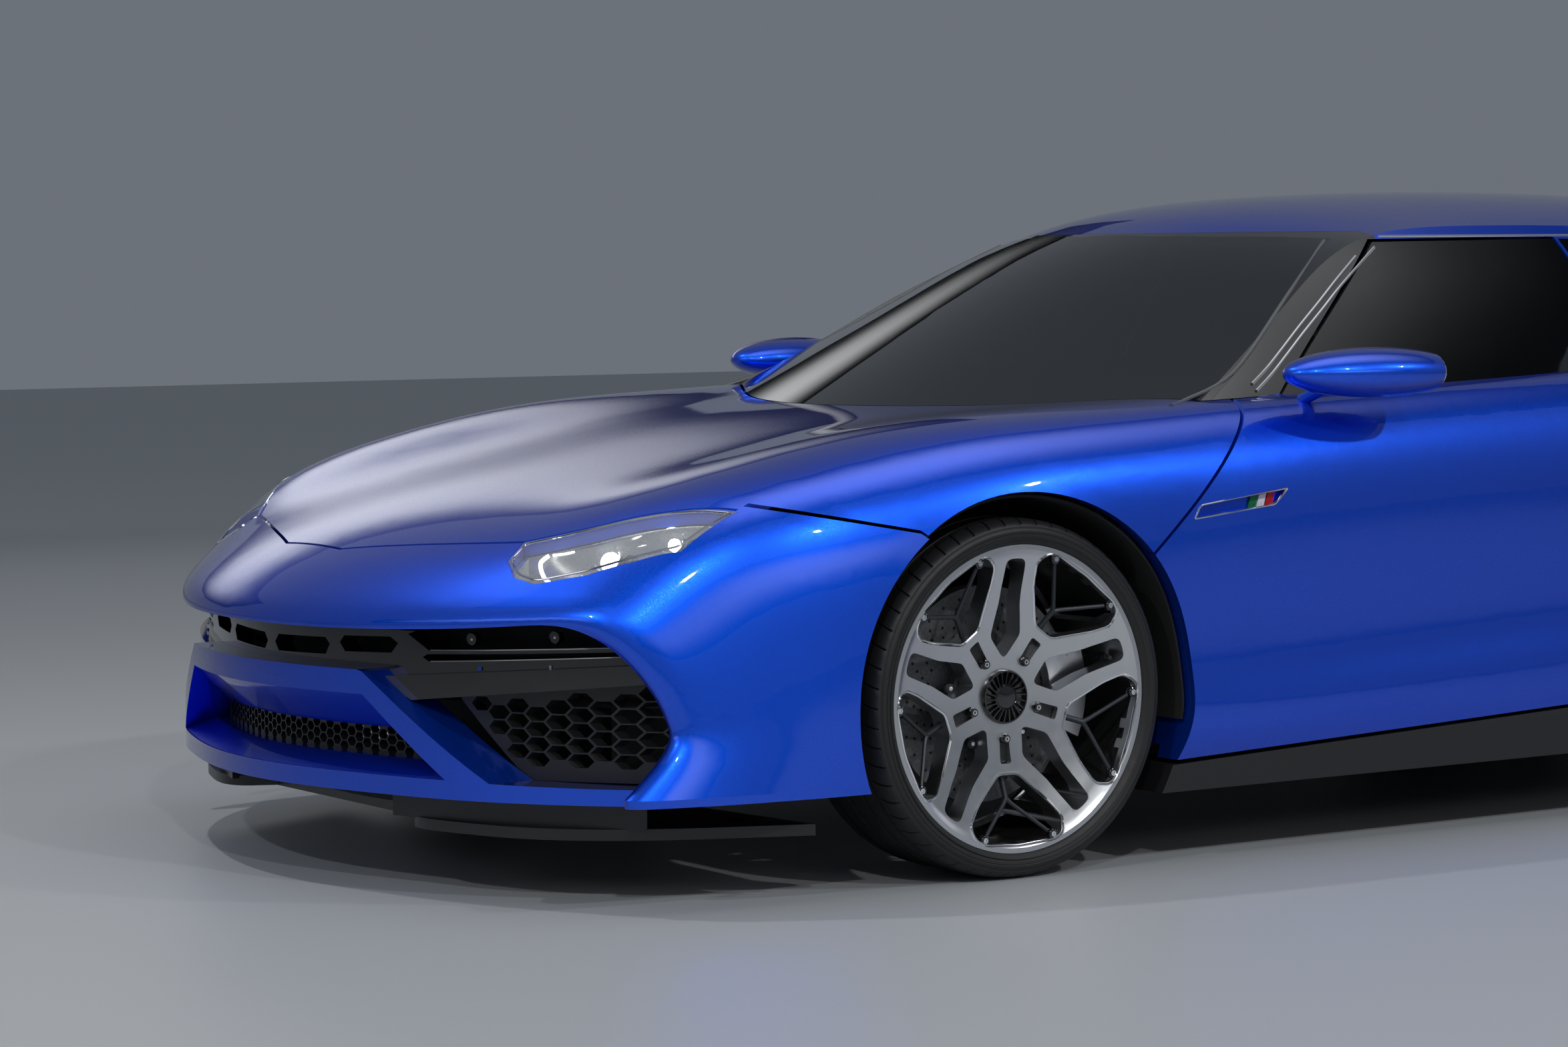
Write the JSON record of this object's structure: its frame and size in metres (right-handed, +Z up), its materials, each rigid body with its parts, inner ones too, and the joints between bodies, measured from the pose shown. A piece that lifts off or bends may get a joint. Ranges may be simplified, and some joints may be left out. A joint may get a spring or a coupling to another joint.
{
  "type": "mid-engined two-seat supercar",
  "caption": "Low two-seat mid-engined coupe with hinged doors, front lid and engine cover, steered front wheels and forked-spoke rims.",
  "frame": {"origin": "on the floor, under the middle of the car's length and width", "axes": "+X to the front, +Y to the car's left, +Z up"},
  "size_m": [4.6778, 2.1528, 1.2697],
  "materials": {
    "body_paint": "deep metallic blue, high gloss",
    "bright_metal": "bright reflector",
    "cabin_leather": "black leather",
    "cast_alloy": "brushed and clear coated",
    "clear_glass": "dark tinted gloss",
    "disc_stone": "matt grey ceramic composite",
    "red_lens": "gloss red lens",
    "satin_black": "satin black",
    "seat_leather": "pale leather",
    "tyre_rubber": "matt black rubber"
  },
  "bodies": {
    "root": {"bumper_beak": "body_paint", "chassis": "satin_black", "dashboard": "cabin_leather", "diffuser": "satin_black", "engine": "cast_alloy", "exhausts": "bright_metal", "front_liners": "satin_black", "front_subframe": "satin_black", "headlamp_bowls": "bright_metal", "headlamp_covers": "clear_glass", "lid_latch": "satin_black", "low_grille": "satin_black", "luggage_tub": "satin_black", "nose_panel": "body_paint", "pillar_trims": "satin_black", "quarter_glass": "clear_glass", "rear_liners": "satin_black", "rear_quarters": "body_paint", "rear_subframe": "satin_black", "roof_panel": "body_paint", "seat_left": "seat_leather", "seat_right": "seat_leather", "side_grilles": "satin_black", "side_skirts": "satin_black", "slot_band": "satin_black", "splitter": "satin_black", "steering_wheel": "cabin_leather", "tail_lamps": "red_lens", "tail_panel": "satin_black", "upright_rl": "cast_alloy", "upright_rr": "cast_alloy", "windscreen": "clear_glass"},
    "front_lid": {"front_lid": "body_paint"},
    "rear_lid": {"engine_cover": "body_paint"},
    "door_left": {"door_left": "body_paint", "door_glass_left": "clear_glass", "mirror_left": "body_paint"},
    "door_right": {"door_right": "body_paint", "door_glass_right": "clear_glass", "mirror_right": "body_paint"},
    "knuckle_fl": {"knuckle_fl": "cast_alloy"},
    "knuckle_fr": {"knuckle_fr": "cast_alloy"},
    "wheel_fl": {"tyre_fl": "tyre_rubber", "rim_fl": "cast_alloy", "disc_fl": "disc_stone"},
    "wheel_fr": {"tyre_fr": "tyre_rubber", "rim_fr": "cast_alloy", "disc_fr": "disc_stone"},
    "wheel_rl": {"tyre_rl": "tyre_rubber", "rim_rl": "cast_alloy", "disc_rl": "disc_stone"},
    "wheel_rr": {"tyre_rr": "tyre_rubber", "rim_rr": "cast_alloy", "disc_rr": "disc_stone"}
  },
  "joints": [
    {"name": "front_lid_hinge", "type": "hinge", "parent": "root", "child": "front_lid", "pos_m": [0.635, 0, 0.88], "axis": [0, -1, 0], "range_deg": [0, 50]},
    {"name": "rear_lid_hinge", "type": "hinge", "parent": "root", "child": "rear_lid", "pos_m": [-1.345, 0, 1.23], "axis": [0, 1, 0], "range_deg": [0, 50]},
    {"name": "door_left_hinge", "type": "hinge", "parent": "root", "child": "door_left", "pos_m": [0.652, 0.929, 0.85], "axis": [0.7381, 0.1755, -0.6515], "range_deg": [0, 60]},
    {"name": "door_right_hinge", "type": "hinge", "parent": "root", "child": "door_right", "pos_m": [0.652, -0.929, 0.85], "axis": [-0.7381, 0.1755, 0.6515], "range_deg": [0, 60]},
    {"name": "steer_fl", "type": "hinge", "parent": "root", "child": "knuckle_fl", "pos_m": [1.235, 0.769, 0.3285], "axis": [0, 0, 1], "range_deg": [-32, 32]},
    {"name": "spin_fl", "type": "hinge", "parent": "knuckle_fl", "child": "wheel_fl", "pos_m": [1.235, 0.8175, 0.3285], "axis": [0, 1, 0], "continuous": true},
    {"name": "steer_fr", "type": "hinge", "parent": "root", "child": "knuckle_fr", "pos_m": [1.235, -0.769, 0.3285], "axis": [0, 0, 1], "range_deg": [-32, 32]},
    {"name": "spin_fr", "type": "hinge", "parent": "knuckle_fr", "child": "wheel_fr", "pos_m": [1.235, -0.8175, 0.3285], "axis": [0, 1, 0], "continuous": true},
    {"name": "spin_rl", "type": "hinge", "parent": "root", "child": "wheel_rl", "pos_m": [-1.465, 0.8045, 0.35], "axis": [0, 1, 0], "continuous": true},
    {"name": "spin_rr", "type": "hinge", "parent": "root", "child": "wheel_rr", "pos_m": [-1.465, -0.8045, 0.35], "axis": [0, 1, 0], "continuous": true}
  ]
}
